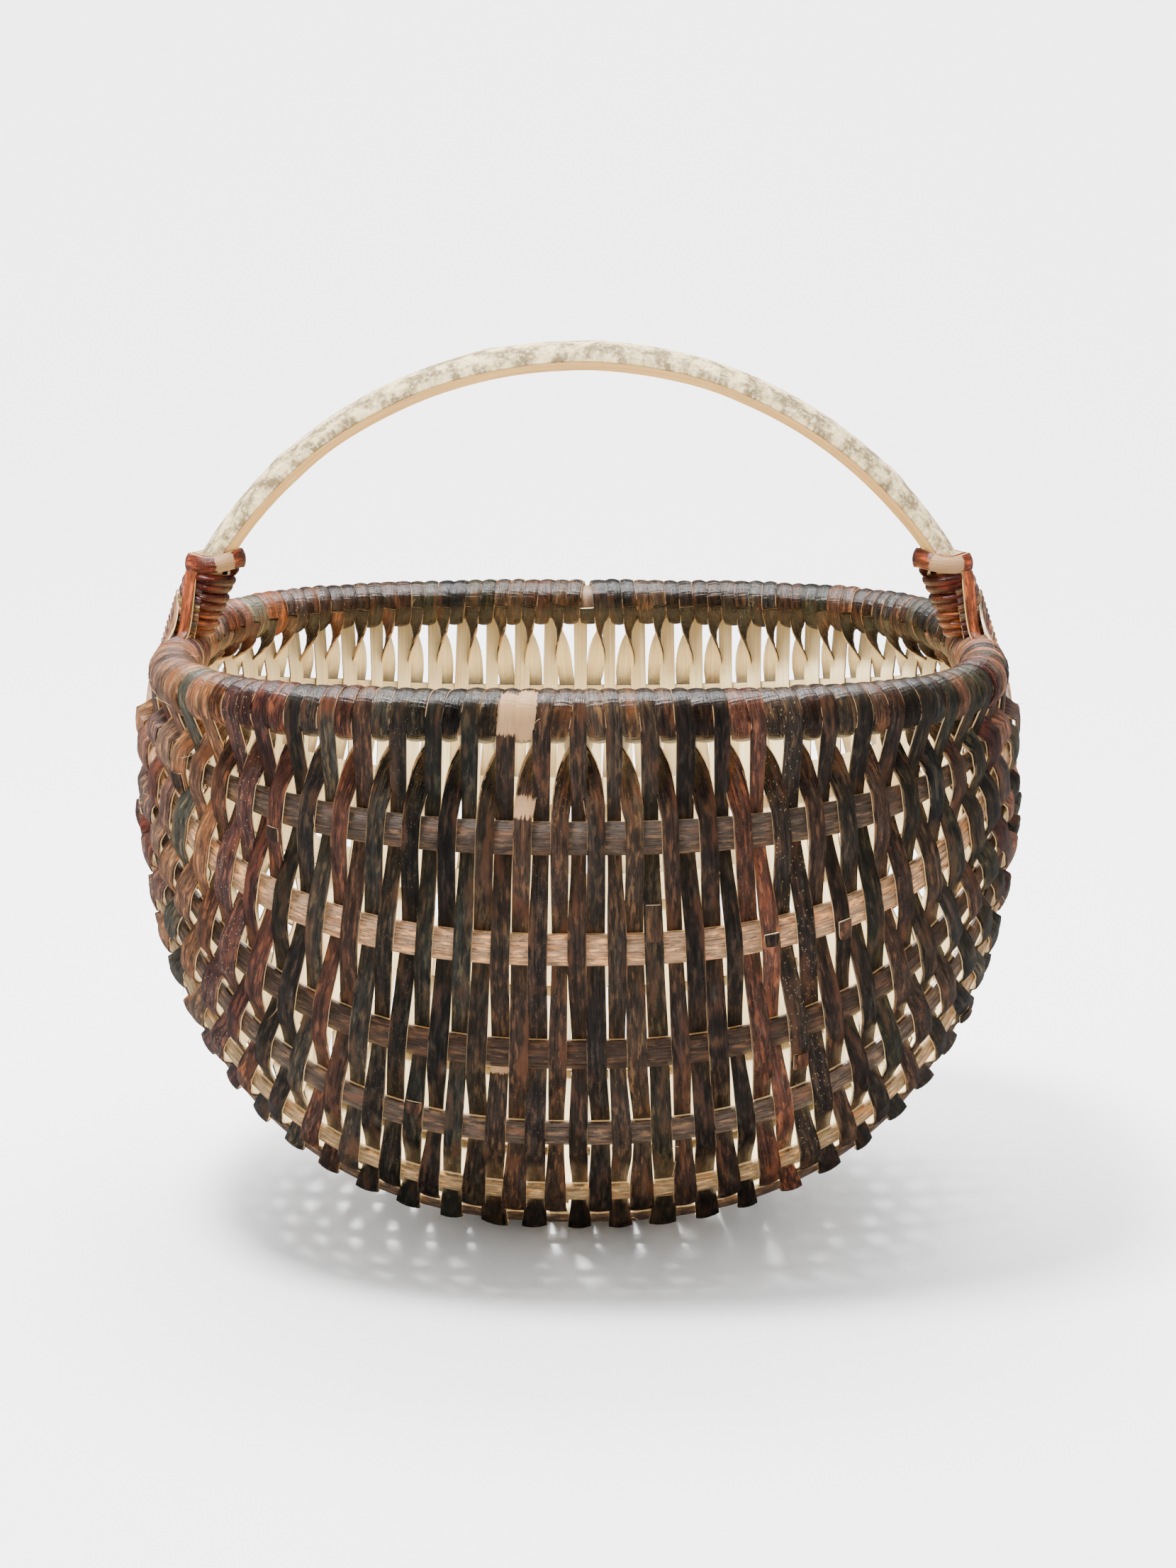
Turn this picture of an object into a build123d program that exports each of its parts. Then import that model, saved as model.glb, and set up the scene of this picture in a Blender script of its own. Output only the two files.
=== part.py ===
"""A round-bellied frame basket with a fixed handle, woven from split willow strands over split ribs.

A level rim hoop carries an upright handle bow, and a diamond eye lashing ties them where they cross
at the two ends. Split ribs run from eye to eye under the basket, and bark-faced strands are woven
over and under them from rim to rim. A strand winds round the rim hoop at the end of each pass, so
the hoop is covered all round. The two halves are woven from the eyes inwards and a last single
strand closes the middle.

Frame: millimetres, +Z up, X along the basket between the two eyes, Y from front (-Y) to back. The
origin is on the floor under the middle of the basket. Every piece is a separate solid.
"""

import math
import os
from bisect import bisect_left

from build123d import *

# Belly: the surface that the middle of every rib lies in.
half_length = 212.0  # X
half_depth = 174.0  # Y
belly_height = 238.0  # Z of the widest level
plan_power = 2.4  # 2 is an ellipse, more is squarer
section_power = 2.3

# Rim hoop: a round rod, set in from the belly.
rim_over_belly = 48.0  # height of the rod's centre over the widest level
rim_inset_length = 15.5  # from the belly's end in to the rod's centre
rim_inset_depth = 9.0  # from the belly's side in to the rod's centre
rim_power = 3.0
rim_rod_radius = 9.0
shoulder_angle = 24.0  # degrees below the hoop over which the belly draws in to it

# Strands: split willow, bark outside.
strand_width = 7.2
strand_thickness = 1.4
strand_gap = 0.5  # least room between two strands side by side on the hoop

# Ribs: split rods. Angles are below the rim, turning about the line between the eyes.
rib_width = 15.0
rib_thickness = 5.0
rib_tip_width = 4.0
rib_taper = 0.1  # width gained for each millimetre from the tip
rib_angles = (17.5, 32.0, 45.0, 55.5, 66.0, 78.0)  # front ribs from the rim down; the back mirrors them
first_ribs = (2, 5, 7)  # ribs that start at the eye, counted from the rim; 7 is the spine
later_rib_start = 75.0  # about how far from the eye's centre the other ribs are pushed in

# Eye lashings.
eye_reach = 30.0  # from the crossing's centre to each corner of the diamond
eye_skin = 3.4  # lashing over the hoop's outer side
sleeve_skin = 2.0  # lashing round the hoop

# Handle bow: a split rod, bark on the crown.
handle_over_rim = 154.0  # from the hoop's centre up to the crown's top
handle_width = 24.0
handle_thickness = 14.0
handle_flat = 15.0  # width of the flat underside
handle_bevel = 5.0  # height of the shaved sides
foot_over_rim = 44.9  # height over the hoop's centre at which the round bow ends inside its binding
foot_lean = 4.55  # from the tongue in to the bow's foot
leg_width = 16.0
leg_thickness = 7.5
leg_clear_of_rim = 8.0  # height over the hoop at which the leg starts to thin
tongue_thickness = 3.4  # the shaved end, inside the hoop
tongue_below_rim = 13.0

# Bindings at the handle's feet.
binding_turns = 7
leg_skin = 2.0  # binding over the leg's edges at its foot
bow_skin = 2.5  # binding over the bow's edges at its top
slant_room = 3.5  # more of it along X at the top, where the leg slants through; half as much at the foot
binding_top_lean = 0.5  # from the bow's foot in to the top turn's centre
binding_foot_out = 1.45  # from the tongue out to the lowest turn's centre
binding_round = 1.5  # rounding of each turn
band_over_binding = (1.5, 0.3)  # band beyond the top turn, along X and along Y
band_lean = 2.0  # from the bow's foot in to the band's centre
band_below_foot = 3.9  # from the bow's foot down to the band's lower edge
band_height = 11.0
strap_width = 8.0
strap_thickness = 1.6
strap_front = 8.0  # distance of the strap's middle in front of the bow's plane
strap_lean = 1.2  # from the hoop's centre in to the strap's turn
strap_rise = 4.0  # height over the binding's foot at which the strap turns on to the hoop

clearance = 0.25  # between any two pieces that lie on each other
weave_clearance = 0.35  # between a strand and the ribs that it crosses

# Worked out from the sizes above.
turn_step = 36.0  # degrees between sections of a strand wound on the hoop
belly_drop = belly_height - rib_thickness / 2 - weave_clearance - strand_thickness
weave_offset = rib_thickness / 2 + weave_clearance + strand_thickness / 2
wrap_inner = (rim_rod_radius + clearance) / math.cos(math.radians(turn_step / 2))
wrap_radius = wrap_inner + strand_thickness / 2
sleeve_radius = rim_rod_radius + sleeve_skin
rim_height = belly_height + rim_over_belly
rim_half_length = half_length - rim_inset_length
rim_half_depth = half_depth - rim_inset_depth
tongue_x = rim_half_length - rim_rod_radius - clearance - tongue_thickness / 2
handle_foot = tongue_x - foot_lean
foot_height = rim_height + foot_over_rim
handle_rise = rim_height + handle_over_rim
bow_rise = handle_rise - handle_thickness / 2 - foot_height
handle_radius = (handle_foot**2 + bow_rise**2) / (2 * bow_rise)
bow_height = handle_rise - handle_thickness / 2 - handle_radius
foot_angle = math.degrees(math.atan2(foot_height - bow_height, handle_foot))
binding_top_radii = (handle_thickness / 2 + bow_skin + slant_room, handle_width / 2 + bow_skin)
binding_foot_radii = (leg_thickness / 2 + leg_skin + slant_room / 2, leg_width / 2 + leg_skin)
binding_top_x = handle_foot - binding_top_lean
binding_foot_x = tongue_x + binding_foot_out
band_radii = tuple(r + more for r, more in zip(binding_top_radii, band_over_binding))
band_x = handle_foot - band_lean
band_bottom = foot_height - band_below_foot
strap_foot_x = rim_half_length - strap_lean
spine_number = len(rib_angles) + 1
girth_angles = [*rib_angles, 90.0, *(180.0 - a for a in reversed(rib_angles))]
rib_names = [
    *(f"rib_front_{n + 1}" for n in range(len(rib_angles))),
    "rib_spine",
    *(f"rib_back_{n}" for n in range(len(rib_angles), 0, -1)),
]
meridian_steps = 96
grid_angle = 2.0
bisection_steps = 28
twist_steps = 7  # sections of a strand's half turn under the rim
inner_side = 540.0  # degrees of winding, from the hoop's outer side over the top, at which it leaves
end_gap = 5.0  # degrees of winding between the end of one strand and the start of the next


def inside_belly(x, y, z):
    section = (abs(y) / half_depth) ** section_power
    section += (abs(z - belly_height) / belly_drop) ** section_power
    return (abs(x) / half_length) ** plan_power + section ** (plan_power / section_power) < 1


def reach(x, y, z):
    """Distance from the middle of the rim plane to the belly along a unit direction."""
    low, high = 0.0, half_length + half_depth
    for _ in range(bisection_steps):
        middle = (low + high) / 2
        if inside_belly(x * middle, y * middle, rim_height + z * middle):
            low = middle
        else:
            high = middle
    return low


def meridian(angle):
    """Points of the wall's line from the left eye to the right at this angle, and running lengths."""
    below = min(angle, 180.0 - angle)
    share_of_hoop = max(0.0, 1 - below / shoulder_angle) ** 2
    across, down = math.cos(math.radians(angle)), math.sin(math.radians(angle))
    points, lengths = [], [0.0]
    for n in range(meridian_steps + 1):
        t = math.pi * n / meridian_steps
        x, y = -math.cos(t), -math.sin(t)
        hoop = (abs(x) / rim_half_length) ** rim_power + (abs(y) / rim_half_depth) ** rim_power
        distance = reach(x, y * across, y * down) * (1 - share_of_hoop)
        distance += hoop ** (-1 / rim_power) * share_of_hoop
        points.append(Vector(x, y * across, y * down) * distance + Vector(0, 0, rim_height))
    for a, b in zip(points, points[1:]):
        lengths.append(lengths[-1] + (b - a).length)
    return points, lengths


grid = [meridian(grid_angle * n) for n in range(round(180 / grid_angle) + 1)]


def on_line(row, share):
    points, lengths = grid[row]
    wanted = min(max(share, 0.0), 1.0) * lengths[-1]
    n = min(max(bisect_left(lengths, wanted), 1), meridian_steps)
    part = (wanted - lengths[n - 1]) / (lengths[n] - lengths[n - 1])
    return points[n - 1] + (points[n] - points[n - 1]) * part


def skin(share, angle):
    """The wall's point at a share of the way from the left eye to the right, at an angle."""
    row = min(max(angle, 0.0), 180.0) / grid_angle
    low = min(int(row), len(grid) - 2)
    return on_line(low, share) * (low + 1 - row) + on_line(low + 1, share) * (row - low)


def wall_length(angle):
    row = min(round(angle / grid_angle), len(grid) - 1)
    return grid[row][1][-1]


def run_along(share, angle, step=0.01):
    return (skin(share + step, angle) - skin(share - step, angle)).normalized()


def outward(share, angle):
    """The wall's outward normal."""
    across = skin(share, angle + 2 * grid_angle) - skin(share, angle - 2 * grid_angle)
    normal = run_along(share, angle).cross(across).normalized()
    away = skin(share, angle) - Vector(0, 0, belly_height)
    return normal if normal.dot(away) > 0 else -normal


def rib_start(number):
    """Distance along its line from the pole at which a rib begins; a later rib starts between two passes."""
    if min(number, 2 * spine_number - number) not in first_ribs:
        length = wall_length(girth_angles[number - 1])
        first_share = first_place / wall_length(0.0)
        passes = math.floor((later_rib_start / length - first_share) / wrap_share)
        return (first_share + (passes + 0.5) * wrap_share) * length
    turn = math.radians(girth_angles[number - 1])
    return (eye_reach + 2 * clearance) / (abs(math.cos(turn)) + abs(math.sin(turn)))


def rib_width_at(number, share):
    """A rib's width at a share of its line, or 0 beyond its ends."""
    from_tip = min(share, 1 - share) * wall_length(girth_angles[number - 1]) - rib_start(number)
    return min(rib_width, rib_tip_width + rib_taper * from_tip) if from_tip >= 0 else 0.0


def rim_frame(share, back):
    """The hoop's centre and its level outward direction at a share of its half."""
    angle = 180.0 if back else 0.0
    along = run_along(share, angle, 0.004)
    out = Vector(along.Y, -along.X, 0)
    return skin(share, angle), (-out if back else out)


def rim_bend(share, back):
    """The hoop's curvature at a share of its half, per millimetre."""
    step = 0.02
    turned = rim_frame(share - step, back)[1].get_angle(rim_frame(share + step, back)[1])
    return math.radians(turned) / (2 * step * wall_length(0.0))


def radial(out, angle):
    turn = math.radians(angle)
    return out * math.cos(turn) + Vector(0, 0, math.sin(turn))


def wound(share, back, first, last, closing=False):
    """Stations (point, normal, width) of a strand wound on the hoop between two angles in degrees.

    0 is the hoop's outer side, 90 its top and 180 its inner side. The strand moves along by one
    strand's place for each turn, and its width follows the room there is inside a bend. A closing
    strand does not move along, and narrows between its neighbours instead.
    """
    count = max(1, math.ceil((last - first) / turn_step))
    stations = []
    for n in range(count + 1):
        angle = first + (last - first) * n / count
        advance = wrap_share * angle / 360
        width = strand_width - (2 * advance * wall_length(0.0) if closing and angle > 0 else 0.0)
        place = share + (0.0 if closing else -advance if back else advance)
        middle, out = rim_frame(place, back)
        normal = radial(out, angle)
        room = 1 + wrap_radius * math.cos(math.radians(angle)) * rim_bend(place, back)
        stations.append((middle + normal * wrap_radius, normal, width * min(room, 1.0)))
    return stations


def touch_angle(share, back, target, leaving):
    """Degrees past the outer side (or past the inner side) at which a strand meets the hoop."""
    middle, out = rim_frame(share, back)
    away = target - middle
    aim = math.degrees(math.atan2(away.Z, away.dot(out)))
    lift = math.degrees(math.acos(min(1.0, wrap_radius / math.hypot(away.Z, away.dot(out)))))
    return (aim - lift) % 360 - 180 if leaving else aim + lift


def woven(share, outside_first):
    """Stations of a pass from the front rim to the back: two where it lies across each rib."""
    met = [n for n in range(1, len(girth_angles) + 1) if rib_width_at(n, share) > 0]
    stations = []
    for place, number in enumerate(met):
        side = 1 if (place % 2 == 0) == outside_first else -1
        angle = girth_angles[number - 1]
        middle, normal = skin(share, angle), outward(share, angle)
        way = skin(share, angle + grid_angle) - skin(share, angle - grid_angle)
        way -= normal * way.dot(normal)
        half = rib_width_at(number, share) / 2 + strand_thickness
        half /= abs(way.dot(normal.cross(run_along(share, angle))))
        for edge in (-half, half):
            point = middle + normal * (side * weave_offset) + way * edge
            stations.append((point, normal, strand_width))
    return stations


def leaving(share, back, near, gap=0.0):
    """Stations from the hoop's inner side to a pass, over which a strand turns its bark outwards."""
    inner = share + (-wrap_share if back else wrap_share) * inner_side / 360
    release = inner_side + touch_angle(inner, back, near[0], True)
    stations = wound(share, back, inner_side + gap, release)
    start = stations[-1][0]
    along = (near[0] - start).normalized()
    side = near[1].cross(along).normalized()
    face = along.cross(side)
    for n in range(1, twist_steps):
        part = n / twist_steps
        turn = math.pi * (1 - part) ** 2
        normal = face * math.cos(turn) + side * math.sin(turn)
        stations.append((start + (near[0] - start) * part, normal, strand_width))
    return stations


def pass_with_turns(share, closing=False):
    """A pass flat up to both rims and wound on them, from the back turn to the front turn."""
    across = woven(share, False)
    back_first = touch_angle(share, True, across[-1][0], False)
    front_first = touch_angle(share, False, across[0][0], False)
    back_turn = wound(share, True, back_first, inner_side)
    front_turn = wound(share, False, front_first, 100.0 if closing else inner_side, closing)
    return [*reversed(back_turn), *reversed(across), *front_turn]


def ribbon(stations, thickness=strand_thickness):
    """The solid of a strand: flat sections square to its run, joined by straight faces."""
    points = [point for point, _, _ in stations]
    with BuildPart() as solid:
        for n, (point, normal, width) in enumerate(stations):
            run = (points[min(n + 1, len(points) - 1)] - points[max(n - 1, 0)]).normalized()
            with BuildSketch(Plane(origin=point, x_dir=normal.cross(run), z_dir=run)):
                Rectangle(width, thickness)
        loft(ruled=True)
    return solid.part


def half_bow(room):
    """The right half of the handle bow with its leg and tongue, all round larger by some room."""
    with BuildPart() as half:
        with BuildLine(Plane.XZ) as line:
            CenterArc((0, bow_height), handle_radius, foot_angle, 90 - foot_angle)
        with BuildSketch(Plane(origin=line.line @ 0, x_dir=(0, 1, 0), z_dir=line.line % 0)):
            with BuildLine():
                side_y = handle_thickness / 2 - handle_bevel
                crown = ThreePointArc(
                    (handle_width / 2, side_y), (0, -handle_thickness / 2), (-handle_width / 2, side_y)
                )
                Polyline(
                    crown @ 1,
                    (-handle_flat / 2, handle_thickness / 2),
                    (handle_flat / 2, handle_thickness / 2),
                    crown @ 0,
                )
            make_face()
            if room > 0:
                offset(amount=room)
        sweep()
        leg_top = rim_height + rim_rod_radius + leg_clear_of_rim
        foot = Vector(handle_foot, 0, foot_height)
        down = (Vector(tongue_x, 0, leg_top) - foot).normalized()
        sections = (
            (foot, down, leg_thickness),
            (Vector(tongue_x + 1, 0, leg_top), Vector(0, 0, -1), leg_thickness),
            (Vector(tongue_x, 0, rim_height + rim_rod_radius), Vector(0, 0, -1), tongue_thickness),
            (Vector(tongue_x, 0, rim_height - tongue_below_rim - room), Vector(0, 0, -1), tongue_thickness),
        )
        for point, way, thickness in sections:
            with BuildSketch(Plane(origin=point, x_dir=(0, 1, 0), z_dir=way)):
                Rectangle(leg_width + 2 * room, thickness + 2 * room)
        loft(ruled=True)
    return half.part


def strap_stations(lift):
    """Stations of a strap from the band down on to the lashed hoop."""
    top = band_bottom - clearance
    level = (top + clearance - binding_foot) / (band_bottom - binding_foot)
    radius_x = binding_foot_radii[0] + (binding_top_radii[0] - binding_foot_radii[0]) * level
    radius_y = binding_foot_radii[1] + (binding_top_radii[1] - binding_foot_radii[1]) * level
    turn = math.asin(strap_front / radius_y)
    face = Vector(math.cos(turn) / radius_x, -math.sin(turn) / radius_y, 0).normalized()
    edge = Vector(binding_top_x + radius_x * math.cos(turn), -strap_front, top)
    stations = [(edge + face * (2 * clearance + strap_thickness / 2), face)]
    stations.append((Vector(strap_foot_x, -strap_front, binding_foot + strap_rise), face))
    distance = sleeve_radius + clearance + strap_thickness / 2
    for angle in (72.0, 45.0):
        way = radial(Vector(1, 0, 0), angle)
        stations.append((Vector(rim_half_length, -strap_front, rim_height) + way * distance, way))
    return [(point, normal, strap_width + lift) for point, normal in stations]


def save(part, name):
    part.label = name
    export_step(part, f"parts/{name}.step")


def save_pair(part, name):
    """A piece of the right-hand end, and its mirror image for the left."""
    save(part, f"{name}_right")
    save(mirror(part, about=Plane.YZ, mode=Mode.PRIVATE), f"{name}_left")


os.makedirs("parts", exist_ok=True)

# Places of the passes along the hoop, counted from each eye to the middle.
place_wanted = strand_width + strand_gap
first_place = eye_reach + 2 * clearance + strand_width / 2 + place_wanted / 2
pairs_each_side = int((wall_length(0.0) / 2 - first_place) // (2 * place_wanted))
pair_share = (0.5 - first_place / wall_length(0.0)) / pairs_each_side
wrap_share = pair_share / 2

# Rim hoop.
hoop_points = [skin(n / 24, 0.0) for n in range(25)] + [skin(1 - n / 24, 180.0) for n in range(1, 24)]
with BuildPart() as rim_hoop:
    with BuildLine():
        hoop_line = Spline(*hoop_points, periodic=True)
    with BuildSketch(Plane(origin=hoop_line @ 0, z_dir=hoop_line % 0)):
        Circle(rim_rod_radius)
    sweep()
save(rim_hoop.part, "rim_hoop")

# Handle bow.
with BuildPart() as handle_bow:
    add(half_bow(0.0))
    mirror(about=Plane.YZ)
save(handle_bow.part, "handle_bow")

# Ribs.
rib_stations = 41
for number, (name, angle) in enumerate(zip(rib_names, girth_angles), start=1):
    first = rib_start(number) / wall_length(angle)
    with BuildPart() as rib:
        for n in range(rib_stations):
            share = first + (1 - 2 * first) * n / (rib_stations - 1)
            run = run_along(share, angle)
            width = max(rib_tip_width, rib_width_at(number, share))
            x_dir = outward(share, angle).cross(run)
            with BuildSketch(Plane(origin=skin(share, angle), x_dir=x_dir, z_dir=run)):
                Rectangle(width, rib_thickness)
        loft(ruled=True)
    save(rib.part, name)

# Bindings of the handle's right foot, mirrored for the left.
bow_room = half_bow(clearance)
binding_foot = rim_height + sleeve_radius + clearance
strap = ribbon(strap_stations(0.0), strap_thickness)
strap_room = ribbon(strap_stations(2 * clearance), strap_thickness + 2 * clearance)
save_pair(strap, "handle_strap")

turn_height = (band_bottom - clearance - binding_foot) / binding_turns
with BuildPart() as binding:
    for n in range(binding_turns):
        part = (n + 0.5) / binding_turns
        x = binding_foot_x + (binding_top_x - binding_foot_x) * part
        radii = [a + (b - a) * part for a, b in zip(binding_foot_radii, binding_top_radii)]
        with BuildSketch(Plane.XY.offset(binding_foot + turn_height * n)):
            with Locations((x, 0)):
                Ellipse(*radii)
        extrude(amount=turn_height)
        fillet(edges(Select.LAST).group_by(Axis.Z)[-1], binding_round)
    add(bow_room, mode=Mode.SUBTRACT)
save_pair(binding.part, "handle_binding")

with BuildPart() as band:
    with BuildSketch(Plane.XY.offset(band_bottom)):
        with Locations((band_x, 0)):
            Ellipse(*band_radii)
    extrude(amount=band_height)
    add(bow_room, mode=Mode.SUBTRACT)
save_pair(band.part, "handle_band")

# Eye lashings.
with BuildPart() as eye:
    with BuildSketch(Plane.XZ):
        with Locations((rim_half_length, rim_height)):
            Circle(sleeve_radius)
    extrude(amount=eye_reach, both=True)
    with Locations((tongue_x, 0, rim_height - 1)):
        Box(tongue_thickness + 4, leg_width + 4, 2 * tongue_below_rim - 6)
    for x, size in ((0.5, 1.0), (rim_rod_radius, 0.8), (rim_rod_radius + eye_skin, 0.3)):
        with BuildSketch(Plane.YZ.offset(rim_half_length + x)):
            with Locations((0, rim_height)):
                corner = eye_reach * size
                Polygon((corner, 0), (0, corner), (-corner, 0), (0, -corner))
    loft(ruled=True)
    with BuildSketch(Plane.XZ):
        with Locations((rim_half_length, rim_height)):
            Circle(rim_rod_radius + 2 * clearance)
    extrude(amount=eye_reach + 1, both=True, mode=Mode.SUBTRACT)
    add(bow_room, mode=Mode.SUBTRACT)
    add(strap_room, mode=Mode.SUBTRACT)
save_pair(eye.part, "eye_lashing")

# Strands of the left half, woven from the eye inwards, and the same mirrored for the right half.
for number in range(1, pairs_each_side + 1):
    share = first_place / wall_length(0.0) + pair_share * (number - 1)
    last_pair = number == pairs_each_side
    stations = pass_with_turns(share)
    if number == 1:
        stations = stations[round(inner_side / turn_step * 0.7) :]
    under = woven(share + wrap_share, True)
    stations += leaving(share, False, under[0])[1:] + under
    left = ribbon(stations + [*reversed(leaving(share + pair_share, True, under[-1], end_gap))])
    save(left, f"strand_left_{number:02d}")
    if last_pair:
        closing = wound(0.5, True, 190.0, inner_side) + leaving(0.5, True, under[-1])[1:]
        left = ribbon(stations + [*reversed(closing)])
    save(mirror(left, about=Plane.YZ, mode=Mode.PRIVATE), f"strand_right_{number:02d}")

save(ribbon(pass_with_turns(0.5, closing=True)), "strand_middle")
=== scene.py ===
"""Finishes a frame basket woven from split willow: strands, ribs, lashings, handle, floor and light.

Every strip of split wood is a guide line with a face direction, a width and a tint, and one geometry
node tree gives it its section: flat split wood below, rounded bark above, pale cut edges between.
"""

import math
import random

import bpy
import numpy as np
from bpy.props import FloatProperty, FloatVectorProperty, IntProperty, PointerProperty
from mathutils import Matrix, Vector


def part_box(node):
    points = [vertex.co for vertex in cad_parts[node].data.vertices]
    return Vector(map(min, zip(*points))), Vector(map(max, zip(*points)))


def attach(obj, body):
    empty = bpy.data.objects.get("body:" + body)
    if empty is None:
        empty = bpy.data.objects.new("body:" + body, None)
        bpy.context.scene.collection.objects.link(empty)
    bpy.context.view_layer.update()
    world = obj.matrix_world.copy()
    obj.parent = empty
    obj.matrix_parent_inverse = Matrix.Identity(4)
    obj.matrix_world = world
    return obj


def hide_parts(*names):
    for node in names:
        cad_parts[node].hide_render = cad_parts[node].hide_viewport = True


bl_info = {
    "name": "Split Willow Basket",
    "version": (1, 0, 0),
    "blender": (4, 5, 0),
    "location": "View3D > Sidebar > Basket",
    "description": "Weaves and finishes a frame basket of split willow round its packed frame",
    "category": "Object",
}

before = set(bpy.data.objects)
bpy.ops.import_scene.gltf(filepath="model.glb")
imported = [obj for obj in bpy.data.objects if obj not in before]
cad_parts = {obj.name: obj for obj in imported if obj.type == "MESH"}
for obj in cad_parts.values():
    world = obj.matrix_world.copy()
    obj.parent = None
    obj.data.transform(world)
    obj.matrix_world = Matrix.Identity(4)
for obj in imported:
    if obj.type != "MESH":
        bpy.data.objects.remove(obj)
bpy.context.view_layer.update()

# The basket's frame, measured on its solids.
hoop_low, hoop_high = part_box("rim_hoop")
ROD = (hoop_high.z - hoop_low.z) / 2
RIM = (hoop_high.z + hoop_low.z) / 2
RIM_HALF_LENGTH = hoop_high.x - ROD
RIM_HALF_DEPTH = hoop_high.y - ROD
HANDLE_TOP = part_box("handle_bow")[1].z
STRAND_NODES = sorted(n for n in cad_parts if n.startswith("strand_"))
RIB_NODES = [f"rib_front_{n}" for n in range(1, 7)]
RIB_NODES += ["rib_spine"] + [f"rib_back_{n}" for n in range(6, 0, -1)]
PAIRS = sum(n.startswith("strand_left") for n in STRAND_NODES)

# The belly that the ribs lie in, in metres, and the weave's own sizes.
HALF_LENGTH, HALF_DEPTH, BELLY = 0.212, 0.174, 0.238
PLAN_POWER, SECTION_POWER, RIM_POWER = 2.4, 2.3, 3.0
RIB_THICKNESS, WEAVE_GAP, STRIP = 0.005, 0.00035, 0.0014
RIB_WIDTH, RIB_TIP_WIDTH, RIB_TAPER = 0.015, 0.004, 0.1
BELLY_DROP = BELLY - RIB_THICKNESS / 2 - WEAVE_GAP - STRIP
SHOULDER = 24.0
RIB_ANGLES = [17.5, 32.0, 45.0, 55.5, 66.0, 78.0, 90.0, 102.0, 114.0, 124.5, 135.0, 148.0, 162.5]
# The ribs that start in the eyes; the others start this far along, between two passes.
FIRST_RIBS = (2, 5, 7, 9, 12)
LATE_RIB_START = 0.075
EYE_REACH, EYE_GAP = 0.030, 0.0005
WRAP_RADIUS = (ROD + 0.00025) / math.cos(math.radians(18)) + STRIP / 2
WEAVE_OFFSET = RIB_THICKNESS / 2 + WEAVE_GAP + STRIP / 2
# The wraps' last angle: one and a half turns, on the hoop's inner side.
INNER_SIDE = 540.0


def linear(code):
    """A colour code such as 8a5a45 as linear red, green, blue and alpha."""
    parts = [int(code[n : n + 2], 16) / 255 for n in (0, 2, 4)]
    return tuple(c / 12.92 if c <= 0.04045 else ((c + 0.055) / 1.055) ** 2.4 for c in parts) + (1.0,)


def palette(codes):
    return [linear(code) for code in codes.split()]


DARK_BARKS = palette("16110d 201812 1a1918 1d1c13 33231a 262621 281c15 1b1511 2b2118")
RED_BARKS = palette("452820 361b19 3f332f 5b432c 3a3a32 54321e 241a14 4a2c20")
EYE_BARKS = palette("5c3f33 6e4b35 4c3a36 7a583e 50302a 6a5648")
BINDING_BARKS = palette("30110d 3a1712 280e0c")
RIB_BARKS = palette("42362d 957659 392a1f 4a3d33 8a7250 54453a 463a30")


def wall_table(shares=401, rows=91, steps=240):
    """The wall's points by angle (front rim to back) and share (left eye to right), and each row's length."""
    t = np.pi * np.arange(steps + 1) / steps
    x, y = -np.cos(t), -np.sin(t)
    table, lengths = np.zeros((rows, shares, 3)), np.zeros(rows)
    for row in range(rows):
        angle = 180.0 * row / (rows - 1)
        across, down = math.cos(math.radians(angle)), math.sin(math.radians(angle))
        low, high = np.zeros(steps + 1), np.full(steps + 1, HALF_LENGTH + HALF_DEPTH)
        for _ in range(30):
            middle = (low + high) / 2
            section = np.abs(y * across * middle / HALF_DEPTH) ** SECTION_POWER
            section += np.abs((RIM + y * down * middle - BELLY) / BELLY_DROP) ** SECTION_POWER
            plan = np.abs(x * middle / HALF_LENGTH) ** PLAN_POWER
            inside = plan + section ** (PLAN_POWER / SECTION_POWER) < 1
            low, high = np.where(inside, middle, low), np.where(inside, high, middle)
        hoop = np.abs(x / RIM_HALF_LENGTH) ** RIM_POWER + np.abs(y / RIM_HALF_DEPTH) ** RIM_POWER
        part = max(0.0, 1 - min(angle, 180 - angle) / SHOULDER) ** 2
        distance = low * (1 - part) + hoop ** (-1 / RIM_POWER) * part
        points = np.stack([x, y * across, y * down], 1) * distance[:, None] + [0, 0, RIM]
        run = np.concatenate([[0], np.cumsum(np.linalg.norm(np.diff(points, axis=0), axis=1))])
        lengths[row] = run[-1]
        wanted = np.linspace(0, run[-1], shares)
        table[row] = np.stack([np.interp(wanted, run, points[:, k]) for k in range(3)], 1)
    return table, lengths


TABLE, LENGTHS = wall_table()
HALF_RUN = LENGTHS[0] / 2


def skin(share, angle):
    """The wall's middle surface, where the ribs lie."""
    row = min(max(angle, 0.0), 180.0) / 180 * (TABLE.shape[0] - 1)
    column = min(max(share, 0.0), 1.0) * (TABLE.shape[1] - 1)
    i, j = min(int(row), TABLE.shape[0] - 2), min(int(column), TABLE.shape[1] - 2)
    u, v = row - i, column - j
    low = TABLE[i, j] * (1 - v) + TABLE[i, j + 1] * v
    return low * (1 - u) + (TABLE[i + 1, j] * (1 - v) + TABLE[i + 1, j + 1] * v) * u


def unit(v):
    return v / max(np.linalg.norm(v), 1e-12)


def run_along(share, angle, step=0.01):
    return unit(skin(share + step, angle) - skin(share - step, angle))


def outward(share, angle):
    """The wall's outward direction."""
    normal = unit(np.cross(run_along(share, angle), skin(share, angle + 4) - skin(share, angle - 4)))
    return normal if normal @ (skin(share, angle) - [0, 0, BELLY]) > 0 else -normal


def wall_length(angle):
    return LENGTHS[round(angle / 180 * (len(LENGTHS) - 1))]


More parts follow.
